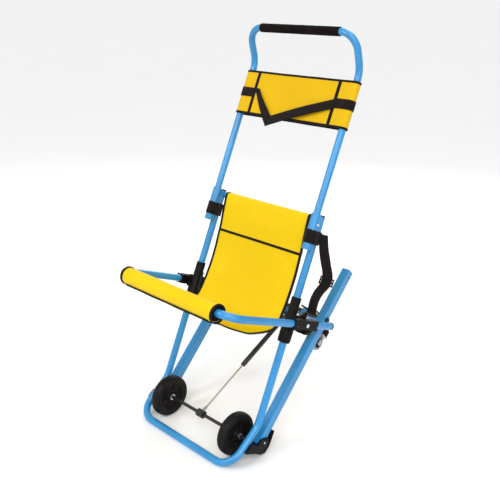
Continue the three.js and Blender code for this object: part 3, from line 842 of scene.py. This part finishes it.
def add_socket_bands():
    for name, side in SIDES.items():
        half = (HANDLE_N - LEG_N) / 2
        centre_n = (HANDLE_N + LEG_N) / 2
        ring = [lean(side * LEG_X + across, BAND["s"], centre_n + along)
                for along, across in stadium(SOCKET_R + 1.4, half, 12)]
        loop = swept(ring, flat_section(BAND["height"], 1.8), lean.along, closed=True)
        lap = [lean(side * LEG_X + side * (SOCKET_R + 2.6), BAND["s"], centre_n + n)
               for n in np.linspace(-12, 14, 8)]
        patch = swept(lap, flat_section(BAND["height"] - 2, 1.6), lean.along)
        make(f"socket_webbing_{name}", joined(loop, patch), WEBBING, "frame", [f"socket_band_{name}"])


# The strap's line as pairs of s and n, and how far along the legs its adjuster is.
LAP_LINE = [(716, -4), (676, -26), (634, -58), (592, -92), (560, -94), (530, -72), (498, -62), (457, -68)]
LAP_X = 275
LAP_TWIST = 38
ADJUSTER_S = 572


def add_lap_strap():
    line = even(spline(LAP_LINE, 200), 5)
    path = []
    acrosses = []
    for k, (s, n) in enumerate(line):
        t = k / (len(line) - 1)
        twist = math.radians(LAP_TWIST) * math.sin(math.pi * min(1.0, t * 1.15)) ** 2
        path.append(lean(LAP_X, s, n))
        acrosses.append(X * math.cos(twist) - lean.out * math.sin(twist))
    strap = ribbon(path, acrosses, flat_section(36, 1.9))
    make("lap_webbing", strap, WEBBING, "frame", ["lap_strap"])

    # The adjuster: a frame with a bar across, threaded on the strap.
    at = min(range(len(line)), key=lambda k: abs(line[k][0] - ADJUSTER_S))
    centre = path[at]
    ahead = (path[at + 1] - path[at - 1]).normalized()
    across = (acrosses[at] - ahead * acrosses[at].dot(ahead)).normalized()
    out = ahead.cross(across)
    bars = [block(centre + ahead * y * MM + out * z * MM, (ahead, out, across), (5, 4.4, 47), 1.2)
            for y, z in ((-11.5, 1.6), (0, -2.8), (11.5, 1.6))]
    bars += [block(centre + across * x * MM, (across, out, ahead), (5, 6.5, 28), 1.4) for x in (-21.5, 21.5)]
    make("strap_adjuster", joined(*bars), PLASTIC, "frame", bevel=0.5)

    # The rectangular ring that the strap's lower end goes through.
    ring_at = lean(277, 468, -72)
    down = (lean(0, 450, -64) - lean(0, 468, -72)).normalized()
    face = down.cross(X)
    corners = [ring_at + (X * x + face * y) * MM
               for x, y in ((-20.5, -8), (20.5, -8), (20.5, 8), (-20.5, 8))]
    loop = [corners[i].lerp(corners[(i + 1) % 4], t) for i in range(4) for t in (0.06, 0.5, 0.94)]
    ring = swept(loop, round_section(1.8, 12), down, closed=True)
    inner, outer = lean(250, 475, -37), lean(256.5, 467, -68)
    arm = block((inner + outer) / 2, (lean.along, X, outer - inner), (6, 4, 33), 1)
    make("strap_ring", joined(ring, arm), PLASTIC, "frame", bevel=0.4)


# ---------------------------------------------------------------- wheels


def add_wheels():
    for name, side in SIDES.items():
        centre = joint_place(f"wheel_spin_{name}")
        half = 16
        tyre = [(50.3, -12.5), (52, -13.6), (54.5, -14.2)]
        for k in range(6):
            r = 56 + k * 2.4
            tyre += [(r, -14.4 - 0.25 * k), (r + 0.7, -15.3 - 0.1 * k), (r + 1.6, -15.3 - 0.1 * k)]
        tyre += [(70.6, -half + 1.0), (73.2, -half + 4.4), (74.6, -half + 8.5), (75, -4.2),
                 (74.2, -3.4), (74.2, -2.6), (75, -1.8)]
        tyre += [(r, -x) for r, x in reversed(tyre)]
        make(f"tyre_rubber_{name}", turned(centre, X, tyre, 96, closed=True), RUBBER,
             f"wheel_{name}", [f"tyre_{name}"], sharp=50)
        face = [(6.4, 17), (13, 17), (14.2, 16.4), (16, 12.5), (18.5, 9.5), (22, 8), (27, 7.4),
                (28, 8.4), (29.4, 8.4), (30.4, 7.4), (42, 7.4), (44, 8.6), (45.6, 11.4), (48.6, 12.4),
                (50.1, 12)]
        hub = [(r, -x) for r, x in face] + face[::-1]
        ribs = []
        for k in range(6):
            a = 2 * math.pi * k / 6
            radial = lean.along * math.cos(a) + lean.out * math.sin(a)
            for sign in (1, -1):
                ribs.append(block(centre + (radial * 30 + X * sign * 7.6) * MM,
                                  (radial, radial.cross(X), X), (28, 4.5, 5), 0))
        make(f"wheel_disc_{name}", joined(turned(centre, X, hub, 72, closed=True), *ribs), PLASTIC,
             f"wheel_{name}", [f"hub_{name}"], bevel=0.5)
        washer = turned(centre, X * -side, [(6.4, 17.2), (10.5, 17.2), (10.5, 18.6), (6.4, 18.6)], 32,
                        closed=True)
        make(f"wheel_washer_{name}", washer, STEEL, "frame", bevel=0.3)
    dress(STEEL, *both("axle_nut_{}"), bevel=0.8)


# ---------------------------------------------------------------- tracks


def belt_shape(x):
    """A toothed belt round two pulleys, with a bar across it every few teeth."""
    radius = 9.9
    straight_steps, round_steps = 160, 12
    loop = []
    for start, end, sign in ((0, TRACK_LENGTH, -1), (TRACK_LENGTH, 0, 1)):
        loop += [(start + (end - start) * k / straight_steps, sign * radius)
                 for k in range(straight_steps)]
        for k in range(round_steps):
            a = math.pi * k / round_steps
            loop.append((end - sign * radius * math.sin(a), sign * radius * math.cos(a)))
    rows = []
    for i, (s, n) in enumerate(loop):
        before, after = loop[i - 1], loop[(i + 1) % len(loop)]
        ahead = Vector((after[0] - before[0], after[1] - before[1])).normalized()
        outward = Vector((ahead.y, -ahead.x))
        middle_of = Vector((min(max(s, 0), TRACK_LENGTH), 0))
        if outward.dot(Vector((s, n)) - middle_of) < 0:
            outward = -outward
        high = 3.4 if i % 4 in (0, 1) else 1.7
        section = [(-11, -1.0), (11, -1.0), (11, high - 0.6), (10.2, high), (-10.2, high), (-11, high - 0.6)]
        rows.append([track(x + a, s + outward.x * b, n + outward.y * b) for a, b in section])
    return loft(rows, around=True, along=True)


def add_tracks():
    for name, side in SIDES.items():
        x = side * LEG_X
        make(f"belt_rubber_{name}", belt_shape(x), RUBBER, "tracks", [f"track_belt_{name}"])
    dress(BLUE, *both("track_housing_{}"), *both("track_cap_{}"), bevel=1.2)
    dress(PLASTIC, *both("lower_pulley_{}"), *both("upper_pulley_{}"), bevel=0.4)


# ---------------------------------------------------------------- castors and the strut


def add_castors():
    for name, side in SIDES.items():
        centre = joint_place(f"castor_spin_{name}")
        tyre = [(19, -9.4), (21, -10), (25, -10), (27.2, -8.2), (28, -5)]
        tyre += [(r, -x) for r, x in reversed(tyre)]
        make(f"castor_tyre_{name}", turned(centre, X, tyre, 56, closed=True), GREY_RUBBER,
             f"castor_wheel_{name}", [f"castor_wheel_{name}"])
        disc = [(3.4, 11), (8, 11), (9, 9.5), (11, 7.4), (16, 7.4), (18, 9), (19, 9.2)]
        disc = [(r, -x) for r, x in disc] + disc[::-1]
        make(f"castor_disc_{name}", turned(centre, X, disc, 48, closed=True), PLASTIC, f"castor_wheel_{name}")
    dress(BLUE, "castor_frame", bevel=1.0)
    dress(PLASTIC, *both("castor_housing_{}"), bevel=1.0)
    dress(ZINC, *both("castor_fork_{}"), bevel=0.6)


def add_strut():
    lower, top = strut(0, 0, 0), STRUT_LENGTH
    rod = turned(lower, strut.along, [(0, 12), (6.5, 12), (6.5, 26), (4.6, 30), (3.5, 30), (3.5, 322),
                                      (0, 322)])
    make("strut_piston", rod, POLISHED, "strut_rod", ["strut_rod"])
    collar = turned(lower, X, [(6.4, -15), (13, -15), (14, -14), (14, 14), (13, 15), (6.4, 15)],
                    closed=True)
    make("strut_collar", collar, DARK_STEEL, "strut_rod", bevel=0.4)

    shell_end = top - 14
    shell = [(0, 233), (3.9, 232), (7.2, 232), (9, 234), (9, 236.5), (8.4, 237.5), (9, 238.5),
             (9, shell_end - 3), (7.5, shell_end), (4.2, shell_end + 1), (4.2, top - 7), (0, top - 7)]
    eye = turned(strut(0, top, 0), X, [(3.2, -7), (7.4, -7), (8, -6.4), (8, 6.4), (7.4, 7), (3.2, 7)],
                 closed=True)
    make("strut_body", joined(turned(lower, strut.along, shell), eye), DARK_STEEL,
         "strut_cylinder", ["strut_cylinder"])


# ---------------------------------------------------------------- blocks, clamps and fasteners


def hex_head(place, axis, width=10.0, high=4.0):
    axis = Vector(axis).normalized()
    r = width / math.sqrt(3)
    return turned(place, axis, [(0, 0), (r, 0), (r, high - 1), (r - 1, high), (0, high)], 6)


def round_screw(place, axis, radius):
    profile = [(0, 0), (radius, 0), (radius, 0.8), (radius * 0.82, radius * 0.42),
               (radius * 0.4, radius * 0.56), (radius * 0.38, radius * 0.3), (0, radius * 0.3)]
    return turned(place, axis, profile, 28)


def add_fittings():
    dress(BLUE, *both("handle_socket_{}"), bevel=0.5)
    dress(STEEL, *both("release_button_{}"), *both("track_pin_{}"), bevel=0.5)
    dress(DARK_STEEL, "strap_anchor", bevel=0.5)
    dress(STEEL, *both("pivot_bolt_{}"), bevel=0.4)
    dress(PLASTIC, *both("tube_cap_{}"), *both("arm_cap_{}"), bevel=0.8)
    dress(PLASTIC, *both("pivot_block_{}"), *both("lower_bracket_{}"), *both("arm_clamp_{}"), bevel=1.2)
    for name, side in SIDES.items():
        x = side * LEG_X
        screws = [round_screw(lean(x, s, -88.6), -lean.out, 4.0) for s in (8, 26)]
        make(f"bracket_screws_{name}", joined(*screws), STEEL, "frame")
        clamp = [hex_head(seat(side * (ARM_X + 16), y, -4), X * side, 7, 2.6) for y in (-50, 48)]
        make(f"clamp_screws_{name}", joined(*clamp), DARK_STEEL, "seat_bar", bevel=0.3)


def add_lock_pin():
    start = ARM_X + LOCK["tip"]
    collar = start + LOCK["shank"]
    radius = LOCK["radius"]
    shank = turned(seat(0, LOCK["behind"], -LOCK["below"]), X,
                   [(0, start), (radius - 0.6, start), (radius, start + 1), (radius, collar), (5, collar),
                    (5.5, collar + 0.6), (5.5, collar + 4.4), (5, collar + 5), (0, collar + 5)], 28)
    hole = seat(collar + 2.5, LOCK["behind"] - 7, -LOCK["below"] - 10)
    loop = [hole + (seat.along * y + seat.out * z) * MM for y, z in round_section(8, 36)]
    make("lock_pull_pin", joined(shank, swept(loop, round_section(1.3, 12), X, closed=True)), DARK_STEEL,
         "lock_pin", ["lock_pin"], bevel=0.3)


# ---------------------------------------------------------------- assembly

add_tubes()
add_foam_grip()
add_roll()
add_hammock()
add_restraint()
add_head_strap()
add_socket_bands()
add_lap_strap()
add_wheels()
add_tracks()
add_castors()
add_strut()
add_fittings()
add_lock_pin()


def add_floor():
    rings = [(0.0, 0.0), (2000.0, 0.0), (20000.0, 0.0), (500000.0, 0.0)]
    points, faces, corners = turned((0, 0, 0), (0, 0, 1), rings, 64)
    mesh = bpy.data.meshes.new("floor")
    mesh.from_pydata(points, [], faces)
    look = Look("floor")
    pale = look.mix(look.noise(1.5, 3), (0.86, 0.86, 0.86), (0.9, 0.9, 0.9))
    look.done(pale, look.between(look.noise(3), 0.3, 0.7, 0.75, 0.85), look.bump(look.noise(200), 0.1, 0.1))
    mesh.materials.append(look.material)
    floor = bpy.data.objects.new("floor", mesh)
    bpy.context.scene.collection.objects.link(floor)


def add_world():
    world = bpy.data.worlds.new("studio")
    world.use_nodes = True
    background = world.node_tree.nodes["Background"]
    background.inputs["Color"].default_value = (1, 1, 1, 1)
    background.inputs["Strength"].default_value = 0.72
    bpy.context.scene.world = world


add_floor()
add_world()
